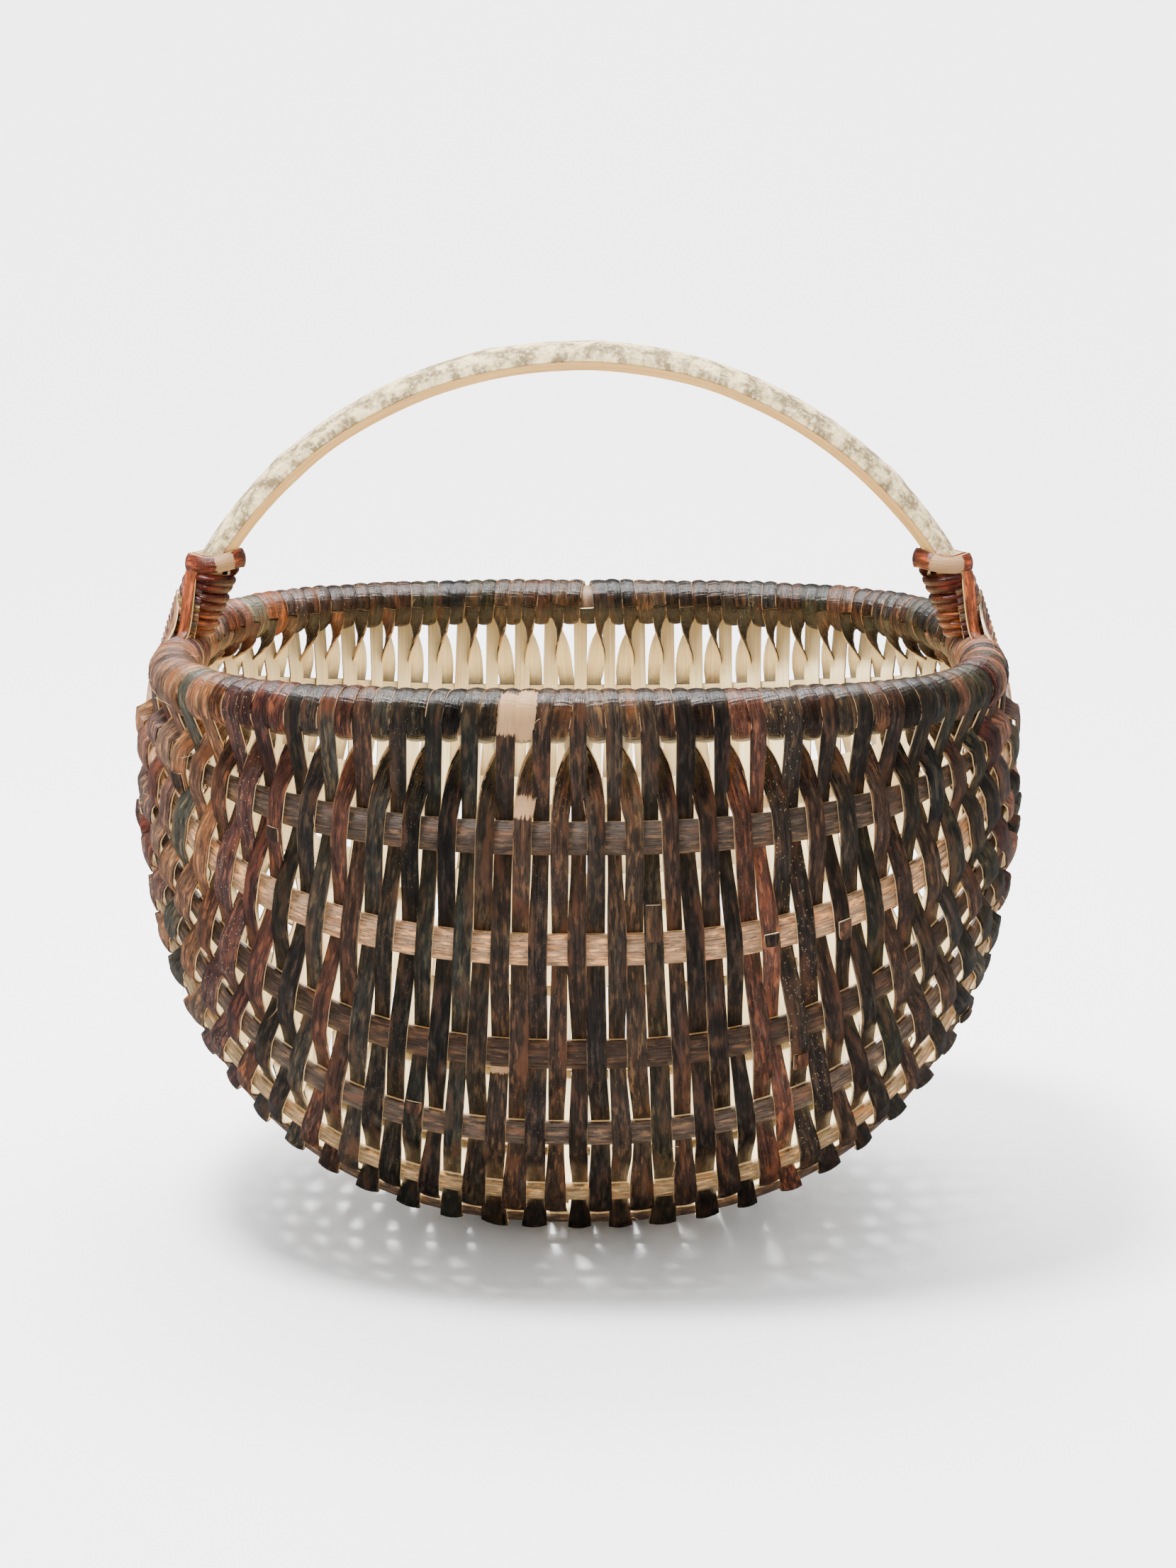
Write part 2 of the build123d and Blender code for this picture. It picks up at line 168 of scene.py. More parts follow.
def rib_start(number):
    """How far from the eye a rib's tip lies, along the rib."""
    if number not in FIRST_RIBS:
        length, first = wall_length(RIB_ANGLES[number - 1]), FIRST_PLACE / LENGTHS[0]
        passes = math.floor((LATE_RIB_START / length - first) / WRAP_SHARE) + 0.5
        return (first + passes * WRAP_SHARE) * length
    turn = math.radians(RIB_ANGLES[number - 1])
    return (EYE_REACH + EYE_GAP) / (abs(math.cos(turn)) + abs(math.sin(turn)))


def rib_width_at(number, share):
    from_tip = min(share, 1 - share) * wall_length(RIB_ANGLES[number - 1]) - rib_start(number)
    return min(RIB_WIDTH, RIB_TIP_WIDTH + RIB_TAPER * from_tip) if from_tip >= 0 else 0.0


# The first strand's distance from the eye: a rib tip's room and half a strand.
FIRST_PLACE = EYE_REACH + EYE_GAP + 0.0036 + 0.00385
PAIR_SHARE = (0.5 - FIRST_PLACE / LENGTHS[0]) / PAIRS
WRAP_SHARE = PAIR_SHARE / 2


# A strand is a list of stations: (point, face direction, width, crown, curl).
def rim_frame(share, back):
    """The hoop's middle and its outward direction."""
    angle = 180.0 if back else 0.0
    along = run_along(share, angle, 0.006)
    out = np.array([along[1], -along[0], 0.0])
    return skin(share, angle), (-out if back else out)


def radial(out, angle):
    return out * math.cos(math.radians(angle)) + np.array([0, 0, math.sin(math.radians(angle))])


def wound(share, back, first, last, width, rng, closing=False):
    """A strand wound on the hoop from one angle to another, side by side with its own turns."""
    count = max(1, math.ceil((last - first) / 18))
    spread, lift, crown = rng.uniform(0.9, 1.13), rng.uniform(0, 0.0007), rng.uniform(0.0004, 0.0009)
    phase, lean = rng.uniform(0, 6.28), rng.uniform(-0.0007, 0.0007)
    stations = []
    for n in range(count + 1):
        angle = first + (last - first) * n / count
        advance = WRAP_SHARE * angle / 360
        place = share + (0.0 if closing else -advance if back else advance)
        middle, out = rim_frame(place, back)
        before, after = rim_frame(place - 0.02, back)[1], rim_frame(place + 0.02, back)[1]
        bend = math.acos(min(1.0, before @ after)) / (0.04 * LENGTHS[0])
        room = min(1 + WRAP_RADIUS * math.cos(math.radians(angle)) * bend, 1.06)
        turned = min(1.0, max(0.0, angle / 60))
        wide = WRAP_SHARE * LENGTHS[0] * room * (1.02 + (spread - 1) * turned)
        wide *= 1 + 0.05 * math.sin(math.radians(angle) * 1.7 + phase)
        wide -= 2 * advance * LENGTHS[0] if closing and angle > 0 else 0.0
        normal = radial(out, angle)
        size = wide * turned + min(width, wide) * (1 - turned)
        sway = np.array([-out[1], out[0], 0]) * lean * turned * math.sin(math.radians(angle) + phase)
        point = middle + normal * (WRAP_RADIUS + lift * turned) + sway
        stations.append((point, normal, size, 0.0003 + crown * turned, turned))
    return stations


def touch_angle(share, back, target, leaving):
    """The angle at which a straight line to the target leaves or meets the wound hoop."""
    middle, out = rim_frame(share, back)
    away = target - middle
    aim = math.degrees(math.atan2(away[2], away @ out))
    lift = math.degrees(math.acos(min(1.0, WRAP_RADIUS / math.hypot(away[2], away @ out))))
    return (aim - lift) % 360 - 180 if leaving else aim + lift


def woven(share, outside_first, width, rng):
    """One pass over and under the ribs, from the front rim to the back."""
    met = [n for n in range(1, 14) if rib_width_at(n, share) > 0]
    near_eye = max(0.0, 1 - share / 0.3)
    stations = []
    for place, number in enumerate(met):
        side = 1 if (place % 2 == 0) == outside_first else -1
        angle = RIB_ANGLES[number - 1]
        at = share + rng.uniform(-1, 1) * 0.0013
        middle, normal = skin(at, angle), outward(at, angle)
        run = run_along(at, angle)
        way = skin(at, angle + 2) - skin(at, angle - 2)
        way = way - normal * (way @ normal)
        half = rib_width_at(number, at) / 2 + STRIP
        half /= abs(way @ np.cross(normal, run))
        spacing = np.linalg.norm(skin(at + WRAP_SHARE, angle) - skin(at, angle))
        wide = width * rng.uniform(0.9, 1.1) * (1.08 if side > 0 else 0.92)
        wide *= 0.94 + 0.16 * math.sin(math.radians(angle))
        wide = min(wide * (1 + 0.45 * near_eye), spacing * (1.0 + 0.6 * near_eye))
        tilt = math.radians(rng.gauss(0, 4.5) + 15 * near_eye) * (1 if side > 0 else 0.4)
        face = normal * math.cos(tilt) + run * math.sin(tilt)
        crown = 0.0009 if side > 0 else 0.0004
        for edge in (-half, 0.0, half):
            away = WEAVE_OFFSET + (0.0003 if edge == 0 else 0)
            point = middle + normal * (side * away) + way * edge
            stations.append((point, face, wide, crown, 0.25 if side > 0 else 0.0))
    return stations


def leaving(share, back, near, width, rng, gap=0.0):
    """A strand that comes off the hoop's inner side and makes a half turn before the near station."""
    inner = share + (-WRAP_SHARE if back else WRAP_SHARE) * INNER_SIDE / 360
    release = INNER_SIDE + touch_angle(inner, back, near[0], True)
    stations = wound(share, back, INNER_SIDE + gap, release, width, rng)
    start = stations[-1][0]
    along = unit(near[0] - start)
    side = unit(np.cross(near[1], along))
    face = np.cross(along, side)
    for n in range(1, 9):
        part = n / 9
        turn = math.pi * (1 - part) ** 2
        normal = face * math.cos(turn) + side * math.sin(turn)
        wide = width * (0.8 + 0.3 * math.sin(math.pi * part * 0.75))
        point, curl = start + (near[0] - start) * part, min(1.0, 2.4 - 2 * part)
        stations.append((point, normal, wide, 0.0009, curl))
    return stations


def pass_with_turns(share, width, rng, closing=False):
    """A pass from the back rim to the front one, with its turns on both."""
    across = woven(share, False, width, rng)
    back_first = touch_angle(share, True, across[-1][0], False)
    front_first = touch_angle(share, False, across[0][0], False)
    back_turn = wound(share, True, back_first, INNER_SIDE, width, rng)
    front_turn = wound(share, False, front_first, 100.0 if closing else INNER_SIDE, width, rng, closing)
    return [*reversed(back_turn), *reversed(across)], front_turn


def smoothed(stations, spacing):
    """Stations on an even curve through the given ones."""
    points = np.array([s[0] for s in stations])
    faces = np.array([s[1] for s in stations])
    rest = np.array([s[2:] for s in stations])
    ends = np.vstack([2 * points[0] - points[1], points, 2 * points[-1] - points[-2]])
    out = []
    for n in range(len(points) - 1):
        a, b, c, d = ends[n : n + 4]
        length = np.linalg.norm(c - b)
        before, after = np.linalg.norm(b - a), np.linalg.norm(d - c)
        m1 = (c - a) * (length / max(before + length, 1e-9))
        m2 = (d - b) * (length / max(after + length, 1e-9))
        count = max(1, round(length / spacing))
        for i in range(count):
            t = i / count
            h = (2 * t**3 - 3 * t**2 + 1, t**3 - 2 * t**2 + t, -2 * t**3 + 3 * t**2, t**3 - t**2)
            s = t * t * (3 - 2 * t)
            face = unit(faces[n] * (1 - t) + faces[n + 1] * t)
            point = b * h[0] + m1 * h[1] + c * h[2] + m2 * h[3]
            out.append((point, face, *(rest[n] * (1 - s) + rest[n + 1] * s)))
    out.append((points[-1], unit(faces[-1]), *rest[-1]))
    return out


def guide(stations, tint, seed, thick=STRIP, closed=False, peels=(), speckle=0.0):
    """A strip's line: points, faces, widths and what its bark looks like at every point."""
    points = np.array([s[0] for s in stations])
    faces = np.array([s[1] for s in stations])
    rest = np.array([s[2:] for s in stations], dtype=float)
    tangent = np.roll(points, -1, 0) - np.roll(points, 1, 0)
    if not closed:
        tangent[0], tangent[-1] = points[1] - points[0], points[-1] - points[-2]
    tangent /= np.linalg.norm(tangent, axis=1)[:, None]
    faces = faces - tangent * np.sum(faces * tangent, 1)[:, None]
    faces /= np.linalg.norm(faces, axis=1)[:, None]
    along = np.concatenate([[0], np.cumsum(np.linalg.norm(np.diff(points, axis=0), axis=1))])
    tints = np.array(tint(along / along[-1])) if callable(tint) else np.tile(tint, (len(points), 1))
    peel = np.zeros(len(points))
    for centre, half in peels:
        away = np.linalg.norm(points - np.array(centre), axis=1)
        peel = np.maximum(peel, np.clip(1.5 - away / half, 0, 1))
    return {
        "points": points,
        "side": np.cross(tangent, faces),
        "face": faces,
        "shape": np.stack([rest[:, 0], rest[:, 1], np.full(len(points), thick)], 1),
        "grain": np.stack([along, rest[:, 0], np.full(len(points), seed)], 1),
        "wear": np.stack([rest[:, 2], peel, np.full(len(points), speckle)], 1),
        "tint": tints,
        "closed": closed,
    }


class Tree:
    """Shorthand for building a node tree."""

    def __init__(self, tree):
        self.tree = tree

    def add(self, kind, inputs=None, **settings):
        node = self.tree.nodes.new(kind)
        for key, value in settings.items():
            setattr(node, key, value)
        for key, value in (inputs or {}).items():
            socket = node.inputs[key]
            if isinstance(value, bpy.types.NodeSocket):
                self.tree.links.new(value, socket)
            else:
                socket.default_value = value
        return node

    def math(self, operation, a, b=0.0, clamp=False):
        return self.add("ShaderNodeMath", {0: a, 1: b}, operation=operation, use_clamp=clamp).outputs[0]

    def plus(self, a, b):
        return self.math("ADD", a, b)

    def minus(self, a, b):
        return self.math("SUBTRACT", a, b)

    def times(self, a, b):
        return self.math("MULTIPLY", a, b)

    def vector(self, operation, a, b):
        second = 3 if operation == "SCALE" else 1
        return self.add("ShaderNodeVectorMath", {0: a, second: b}, operation=operation).outputs[0]

    def mix(self, factor, a, b, blend="MIX"):
        inputs = {0: factor, 6: a, 7: b}
        return self.add("ShaderNodeMix", inputs, data_type="RGBA", blend_type=blend).outputs[2]

    def read(self, name):
        """The three numbers of one of the piece's own attributes."""
        source = self.add("ShaderNodeAttribute", attribute_name=name).outputs["Vector"]
        return self.add("ShaderNodeSeparateXYZ", {0: source}).outputs

    def ramp(self, value, low, high, smooth=True):
        kind = "SMOOTHSTEP" if smooth else "LINEAR"
        inputs = {"Value": value, "From Min": low, "From Max": high}
        return self.add("ShaderNodeMapRange", inputs, interpolation_type=kind).outputs["Result"]

    def noise(self, vector, stretch, detail=2.0, rough=0.5):
        mapped = self.vector("MULTIPLY", vector, stretch)
        inputs = {"Vector": mapped, "Scale": 1.0, "Detail": detail, "Roughness": rough}
        return self.add("ShaderNodeTexNoise", inputs).outputs["Fac"]


def strip_tree():
    """A tree that turns guide lines into strips of split wood with a rounded bark face."""
    group = bpy.data.node_groups.get("Split strip")
    if group:
        return group
    group = bpy.data.node_groups.new("Split strip", "GeometryNodeTree")
    for name, way, kind, default in (
        ("Guides", "INPUT", "Geometry", None),
        ("Section cuts", "INPUT", "Int", 3),
        ("Thickness scale", "INPUT", "Float", 1.0),
        ("Bark", "INPUT", "Material", None),
        ("Strips", "OUTPUT", "Geometry", None),
    ):
        socket = group.interface.new_socket(name=name, in_out=way, socket_type=f"NodeSocket{kind}")
        if default is not None:
            socket.default_value = default
    t = Tree(group)
    given = t.add("NodeGroupInput")

    def stored(name):
        node = t.add("GeometryNodeInputNamedAttribute", {"Name": name}, data_type="FLOAT_VECTOR")
        return node.outputs["Attribute"]

    rail = t.add("GeometryNodeMeshToCurve", {"Mesh": given.outputs["Guides"]})
    whole = {"Width": 1.0, "Height": 1.0}
    square = t.add("GeometryNodeCurvePrimitiveQuadrilateral", whole, mode="RECTANGLE").outputs["Curve"]
    cuts = given.outputs["Section cuts"]
    cut = t.add("GeometryNodeSubdivideCurve", {"Curve": square, "Cuts": cuts}).outputs["Curve"]
    corner = t.add("GeometryNodeInputPosition").outputs[0]
    named = t.add(
        "GeometryNodeStoreNamedAttribute",
        {"Geometry": cut, "Name": "profile", "Value": corner},
        data_type="FLOAT_VECTOR",
        domain="POINT",
    )
    swept = t.add(
        "GeometryNodeCurveToMesh",
        {"Curve": rail.outputs["Curve"], "Profile Curve": named.outputs["Geometry"], "Fill Caps": True},
    )
    profile = t.add("ShaderNodeSeparateXYZ", {0: stored("profile")}).outputs
    shape = t.add("ShaderNodeSeparateXYZ", {0: stored("shape")}).outputs
    width = t.times(profile[0], shape[0])
    thick = t.times(shape[2], given.outputs["Thickness scale"])
    arch = t.minus(1.0, t.times(t.math("POWER", t.math("ABSOLUTE", profile[0]), 2.0), 4.0))
    lift = t.times(t.times(t.plus(profile[1], 0.5), shape[1]), arch)
    rise = t.plus(t.times(profile[1], thick), lift)
    across = t.vector("SCALE", stored("side"), width)
    up = t.vector("SCALE", stored("face"), rise)
    place = t.vector("ADD", t.vector("ADD", stored("rail"), across), up)
    moved = t.add("GeometryNodeSetPosition", {"Geometry": swept.outputs["Mesh"], "Position": place})
    real = t.add("GeometryNodeRealizeInstances", {"Geometry": moved.outputs["Geometry"]})
    inputs = {"Geometry": real.outputs["Geometry"], "Material": given.outputs["Bark"]}
    dressed = t.add("GeometryNodeSetMaterial", inputs)
    t.add("NodeGroupOutput", {"Strips": dressed.outputs["Geometry"]})
    return group


def strips(name, guides, material, cuts=3, sharp=38.0):
    """One piece made of strips that follow the guides."""
    counts = [len(g["points"]) for g in guides]
    starts = np.concatenate([[0], np.cumsum(counts)[:-1]]).astype(int)
    edges = []
    for g, start, count in zip(guides, starts, counts):
        edges += [(start + n, start + n + 1) for n in range(count - 1)]
        if g["closed"]:
            edges.append((start + count - 1, start))
    mesh = bpy.data.meshes.new(name)
    points = np.vstack([g["points"] for g in guides])
    mesh.from_pydata([tuple(p) for p in points], [(int(a), int(b)) for a, b in edges], [])
    for key in ("side", "face", "shape", "grain", "wear", "points"):
        values = np.vstack([g[key] for g in guides]).astype(np.float32)
        name_of = "rail" if key == "points" else key
        mesh.attributes.new(name_of, "FLOAT_VECTOR", "POINT").data.foreach_set("vector", values.ravel())
    tints = np.vstack([g["tint"] for g in guides]).astype(np.float32)
    mesh.attributes.new("tint", "FLOAT_COLOR", "POINT").data.foreach_set("color", tints.ravel())
    piece = bpy.data.objects.new(name, mesh)
    bpy.context.scene.collection.objects.link(piece)
    modifier = piece.modifiers.new("Split strip", "NODES")
    modifier.node_group = strip_tree()
    items = modifier.node_group.interface.items_tree
    sockets = {item.name: item.identifier for item in items if item.in_out == "INPUT"}
    modifier[sockets["Section cuts"]] = cuts
    modifier[sockets["Thickness scale"]] = 1.0
    modifier[sockets["Bark"]] = material
    made = bpy.data.meshes.new_from_object(piece.evaluated_get(bpy.context.evaluated_depsgraph_get()))
    piece.modifiers.clear()
    old, piece.data = piece.data, made
    bpy.data.meshes.remove(old)
    for key in ("side", "face", "shape", "rail"):
        if key in made.attributes:
            made.attributes.remove(made.attributes[key])
    point_outwards(made)
    made.set_sharp_from_angle(angle=math.radians(sharp))
    made.name = name
    return piece


def point_outwards(mesh):
    """Turns the whole mesh the right way out by the sign of its volume."""
    mesh.calc_loop_triangles()
    corners = np.zeros(len(mesh.vertices) * 3)
    mesh.vertices.foreach_get("co", corners)
    triangles = np.zeros(len(mesh.loop_triangles) * 3, dtype=int)
    mesh.loop_triangles.foreach_get("vertices", triangles)
    a, b, c = corners.reshape(-1, 3)[triangles.reshape(-1, 3)].transpose(1, 0, 2)
    if np.sum(a * np.cross(b, c)) < 0:
        mesh.flip_normals()
    mesh.shade_smooth()


def finish_piece(piece, slot, *nodes):
    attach(piece, "root")
    if nodes:
        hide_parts(*nodes)


def mirrored(stations):
    """Stations in the other half of the basket."""
    flip = np.array([-1.0, 1.0, 1.0])
    return [(s[0] * flip, s[1] * flip, *s[2:]) for s in stations]


def start_material(name):
    """A new material, its tree and its shader, or only the material where it is there already."""
    material = bpy.data.materials.get(name)
    if material:
        return material, None, None
    material = bpy.data.materials.new(name)
    material.use_nodes = True
    t = Tree(material.node_tree)
    shader = next(n for n in material.node_tree.nodes if n.type == "BSDF_PRINCIPLED")
    return material, t, shader


def connect(t, shader, colour, rough, height, strength, distance=0.0006):
    t.tree.links.new(colour, shader.inputs["Base Color"])
    t.tree.links.new(rough, shader.inputs["Roughness"])
    bump = t.add("ShaderNodeBump", {"Height": height, "Strength": strength, "Distance": distance})
    t.tree.links.new(bump.outputs[0], shader.inputs["Normal"])


def strip_coordinates(t):
    """Where a point lies along and across its strip in metres, and on the strip's section."""
    grain, profile = t.read("grain"), t.read("profile")
    across = t.times(profile[0], grain[1])
    place = t.add("ShaderNodeCombineXYZ", {0: grain[0], 1: across, 2: grain[2]}).outputs[0]
    return place, profile


def bark_material(name, looks, rough_low, rough_high, mottle=0.5, crack=0.0):
    """Bark on the rounded face, pale split wood on the flat face and along the cut edges."""
    material, t, shader = start_material(name)
    if t is None:
        return material
    place, profile = strip_coordinates(t)
    curl, peel, speckle = t.read("wear")[:3]
    tint = t.add("ShaderNodeAttribute", attribute_name="tint").outputs["Color"]
    streak = t.noise(place, (55, 1500, 3), 4.0, 0.6)
    fine = t.noise(place, (260, 4200, 5), 2.0)
    patch = t.noise(place, (42, 170, 1.7), 3.0, 0.6)
    patch_two = t.noise(place, (75, 260, 9.1), 3.0, 0.55)
    ring = t.noise(place, (900, 60, 4), 2.0)
    dark = t.mix(0.85, tint, (0.25, 0.22, 0.2, 1), "MULTIPLY")
    light = t.mix(0.5, t.mix(1.0, tint, (2.4, 2.2, 2.0, 1), "MULTIPLY"), tuple(looks.bark_dust) + (1,))
    middle_streak = t.noise(place, (110, 520, 2.3), 3.0, 0.6)
    bright = t.mix(1.0, tint, (2.9, 2.2, 1.35, 1), "MULTIPLY")
    colour = t.mix(t.ramp(streak, 0.34, 0.62), dark, tint)
    colour = t.mix(t.times(t.ramp(middle_streak, 0.53, 0.66), 1 - 0.7 * crack), colour, bright)
    colour = t.mix(t.times(t.ramp(fine, 0.56, 0.68), 0.55 - 0.5 * crack), colour, bright)
    colour = t.mix(t.times(t.ramp(middle_streak, 0.46, 0.34), 0.8 - 0.6 * crack), colour, dark)
    rusty = t.mix(0.55, t.mix(1.0, tint, (2.9, 1.7, 1.0, 1), "MULTIPLY"), tuple(looks.bark_rust) + (1,))
    colour = t.mix(t.times(t.ramp(patch, 0.52, 0.7), mottle), colour, rusty)
    dusty = t.times(t.ramp(patch_two, 0.56, 0.74), t.ramp(fine, 0.35, 0.65))
    colour = t.mix(t.times(dusty, mottle * 0.8), colour, light)
    dots = t.add(
        "ShaderNodeTexVoronoi",
        {"Vector": t.vector("MULTIPLY", place, (420, 760, 40)), "Scale": 1.0, "Randomness": 1.0},
    ).outputs["Distance"]
    dot = t.ramp(dots, 0.17, 0.1)
    colour = t.mix(t.times(dot, speckle), colour, linear("8c7a58"))
    crackle = t.ramp(t.noise(place, (210, 900, 6), 3.0, 0.7), 0.42, 0.34)
    colour = t.mix(t.times(crackle, crack), colour, linear("2b211a"))
    wood_streak = t.noise(place, (14, 1300, 2), 3.0, 0.5)
    soft = t.noise(place, (22, 60, 1), 2.0)
    wood = t.mix(t.ramp(wood_streak, 0.3, 0.75), tuple(looks.wood_shade) + (1,), tuple(looks.wood) + (1,))
    wood = t.mix(t.times(t.ramp(soft, 0.5, 0.75), 0.45), wood, linear("c39a68"))
    edge = t.ramp(t.math("ABSOLUTE", profile[0]), 0.485, 0.499)
    wood = t.mix(t.times(edge, 0.6), wood, linear("9a6f40"))
    face = t.ramp(t.plus(profile[1], t.times(t.minus(fine, 0.5), 0.5)), -0.12, 0.05)
    wood = t.mix(t.times(face, 0.92), wood, linear("8a6440"))
    ragged = t.plus(peel, t.times(t.minus(streak, 0.5), 0.7))
    kept = t.minus(1.0, t.ramp(ragged, 0.46, 0.52))
    bark = t.times(face, kept)
    lip = t.times(t.ramp(profile[0], 0.452, 0.47), t.ramp(middle_streak, 0.44, 0.52))
    bark = t.times(bark, t.minus(1.0, t.times(lip, curl)))
    colour = t.mix(bark, wood, colour)
    gloss = t.times(t.times(curl, bark), rough_high - rough_low)
    rough = t.minus(t.plus(t.times(streak, 0.22), rough_high - 0.11), gloss)
    rough = t.math("ADD", rough, t.times(t.minus(1.0, bark), 0.12), clamp=True)
    wrinkle = t.times(t.times(ring, curl), 0.7)
    height = t.plus(t.times(streak, 0.8), t.times(fine, 0.25))
    height = t.plus(t.plus(height, wrinkle), t.times(bark, 0.35))
    height = t.minus(height, t.times(crackle, crack * 0.8))
    shader.inputs["Specular IOR Level"].default_value = 0.18
    shader.inputs["Coat Weight"].default_value = 0.26
    shader.inputs["Coat Roughness"].default_value = 0.13
    connect(t, shader, colour, rough, height, 0.9)
    t.tree.links.new(shader.inputs["Normal"].links[0].from_socket, shader.inputs["Coat Normal"])
    return material


def peeled_material():
    material, t, shader = start_material("Peeled rod")
    if t is None:
        return material
    place = t.add("ShaderNodeTexCoord").outputs["Object"]
    grain = t.noise(place, (260, 260, 60), 3.0)
    colour = t.mix(t.ramp(grain, 0.3, 0.7), linear("4a3424"), linear("7d6244"))
    connect(t, shader, colour, t.ramp(grain, -1.0, 1.6, False), grain, 0.4)
    return material


# Settings.
def size(name, description, default):
    return FloatProperty(name=name, description=description, default=default, min=0.0, unit="LENGTH")


def colour(name, description, code):
    looks = {"default": linear(code)[:3], "subtype": "COLOR", "min": 0, "max": 1}
    return FloatVectorProperty(name=name, description=description, **looks)


class BasketStrandSettings(bpy.types.PropertyGroup):
    width: size("Strand width", "Width of a strand where it crosses the ribs", 0.0084)
    spacing: size("Point spacing", "Distance between a strand's cross sections", 0.0034)
    seed: IntProperty(name="Seed", description="Start of every strand's small differences", default=11)
    wood: colour("Split wood", "The pale face of a strand", "fdf0c6")
    wood_shade: colour("Split wood grain", "The darker grain of the pale face", "ecd29c")
    bark_rust: colour("Bark rust", "Rusty brown patches in the bark", "482a17")
    bark_dust: colour("Bark dust", "Grey-green bloom on the bark", "4e4d40")


class BasketHandleSettings(bpy.types.PropertyGroup):
    width: size("Bow width", "Width of the split rod", 0.024)
    thickness: size("Bow thickness", "From the crown to the flat underside", 0.014)
    radius: size("Bow radius", "Radius of the bow's middle line", 0.2115)
    foot: size("Bow foot", "Half the distance between the bow's feet", 0.181)
    bark: colour("Pale bark", "The crown's pale bark", "cdb886")
    mottle: colour("Bark mottle", "Brown patches on the crown", "6c5a38")
    wood: colour("Shaved wood", "The smooth underside", "e0b468")


class BasketStageSettings(bpy.types.PropertyGroup):
    floor: colour("Floor", "The floor and the room behind", "eeeeee")
    distance: size("Camera distance", "From the camera to the middle of the basket", 1.6)
    aim: size("Aim height", "Height that the camera looks at", 0.2196)
    tilt: FloatProperty(
        name="Tilt",
        description="Height of the view over level",
        default=math.radians(12.11),
        subtype="ANGLE",
    )


# Pieces.
class BASKET_OT_strands(bpy.types.Operator):
    """Weave every strand over and under the ribs and round the hoop"""

    bl_idname = "basket.strands"
    bl_label = "Weave Strands"

    def execute(self, context):
        looks = context.scene.basket_strands
        bark = bark_material("Willow bark", looks, 0.24, 0.46, 0.75)
        woven_lines = [weave_strand(name, looks, bark) for name in STRAND_NODES]
        add_splices(woven_lines, looks, bark)
        return {"FINISHED"}


def tint_of(x, rng):
    """Bark colour by its place: tan and mauve at the eyes, reddish at the left, dark elsewhere."""
    if abs(x) > 0.175 and rng.random() < (0.6 if x < 0 else 0.15):
        barks = EYE_BARKS
    else:
        red = 0.9 if x < -0.135 else 0.5 if x < -0.105 else 0.1
        barks = RED_BARKS if rng.random() < red else DARK_BARKS
    tint = np.array(rng.choice(barks))
    tint[:3] *= rng.uniform(0.75, 1.3)
    return tint


def rim_x(share):
    """How far along X a strand of the left half meets the hoop."""
    return skin(share, 0.0)[0]


def strand_line(name, looks):
    """A strand's line from its start to its end, both at the back, its place and its random numbers."""
    middle = name == "strand_middle"
    left = "left" in name
    number = PAIRS + 1 if middle else int(name[-2:])
    rng = random.Random(looks.seed * 1000 + number * 2 + (1 if left else 0))
    share = FIRST_PLACE / LENGTHS[0] + PAIR_SHARE * (number - 1)
    width = looks.width * rng.uniform(0.86, 1.1)
    first, front = pass_with_turns(share, width, rng, closing=middle)
    if number == 1:
        first = first[len(first) * 2 // 5 :]
    stations = first + front
    if not middle:
        width = looks.width * rng.uniform(0.9, 1.14)
        under = woven(share + WRAP_SHARE, True, width, rng)
        stations = stations + leaving(share, False, under[0], width, rng)[1:] + under
        if number == PAIRS and not left:
            end = wound(0.5, True, 190.0, INNER_SIDE, width, rng)
            end += leaving(0.5, True, under[-1], width, rng)[1:]
        else:
            end = leaving(share + PAIR_SHARE, True, under[-1], width, rng, 5.0)
        stations += [*reversed(end)]
    stations = smoothed(stations if middle or left else mirrored(stations), looks.spacing)
    return stations, number, left, rim_x(share) if middle or left else -rim_x(share), rng


# Strands with many pale speckles in their bark.
SPECKLED = ("strand_right_12", "strand_left_08")
# Bark missing from a strand: (strand, centre, radius).
PEELS = [
    ("strand_left_16", (-0.0250, -0.1745, 0.2880), 0.0110),
    ("strand_left_16", (-0.0232, -0.1775, 0.2480), 0.0072),
    ("strand_left_16", (-0.0320, -0.1520, 0.1210), 0.0065),
]


def weave_strand(name, looks, bark):
    """One strand's piece, a little wider under the bottom, with up to four tints along it."""
    stations, number, left, x, rng = strand_line(name, looks)
    stations = [(p, f, w * (1 + 0.32 * max(0.0, 1 - p[2] / 0.075)), c, t) for p, f, w, c, t in stations]
    curl = np.array([s[4] for s in stations])
    tints = [tint_of(x, rng) for _ in range(5)]
    cuts = [0.24 + rng.uniform(-0.05, 0.05), rng.uniform(0.46, 0.54), 0.74 + rng.uniform(-0.05, 0.05)]

    def tint(along):
        mixed = np.tile(tints[0], (len(along), 1))
        for cut, target in zip(cuts, tints[1:]):
            part = np.clip((along - cut) / 0.006, 0, 1)[:, None]
            mixed = mixed * (1 - part) + (0.35 * tints[0] + 0.65 * target) * part
        mixed = mixed * (1 + 0.22 * np.sin(along * 23 + number)[:, None] * np.sin(along * 9)[:, None])
        turns = 1 + 0.45 * np.sin(along * 140 + number * 2.1)
        mixed = mixed * (1 + (turns - 1) * np.clip(curl * 1.5 - 0.5, 0, 1))[:, None]
        mixed[:, 3] = 1
        return mixed

    peels = [(centre, half) for owner, centre, half in PEELS if owner == name]
    if name in SPECKLED:
        speckle = 0.9
    else:
        speckle = 0.25 if rng.random() < 0.4 else 0.0
    seed = number * 3.7 + (50 if left else 0)
    piece = strips(f"woven_{name}", [guide(stations, tint, seed, peels=peels, speckle=speckle)], bark)
    finish_piece(piece, "bark_strand_red" if left else "bark_strand_dark", name)
    return stations


